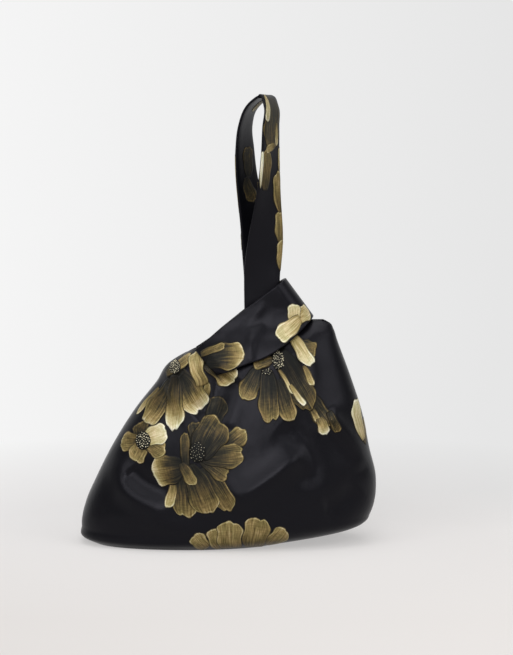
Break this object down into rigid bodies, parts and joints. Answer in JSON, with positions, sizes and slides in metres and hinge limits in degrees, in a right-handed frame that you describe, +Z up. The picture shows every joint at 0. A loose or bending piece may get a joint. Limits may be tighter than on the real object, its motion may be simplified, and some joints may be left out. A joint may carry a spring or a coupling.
{
  "type": "clutch bag",
  "caption": "Soft wrist clutch bag in black brocade with gold flowers: a rounded body that leans to one side, closed by a long looped handle drawn through a short one.",
  "frame": {"origin": "middle of the bounding box at the base, where the bag stands", "axes": "+Z up through the handle, -Y out of the front panel, +X to the side that the knot leans to, seen from the front"},
  "size_m": [0.2815, 0.1372, 0.4238],
  "materials": {
    "black_brocade": "black satin weave with woven gold flowers",
    "black_lining": "plain black cotton sateen"
  },
  "bodies": {
    "root": {"front_panel": "black_brocade", "back_panel": "black_brocade", "lining": "black_lining", "short_handle": "black_brocade", "long_handle": "black_brocade"}
  },
  "joints": []
}
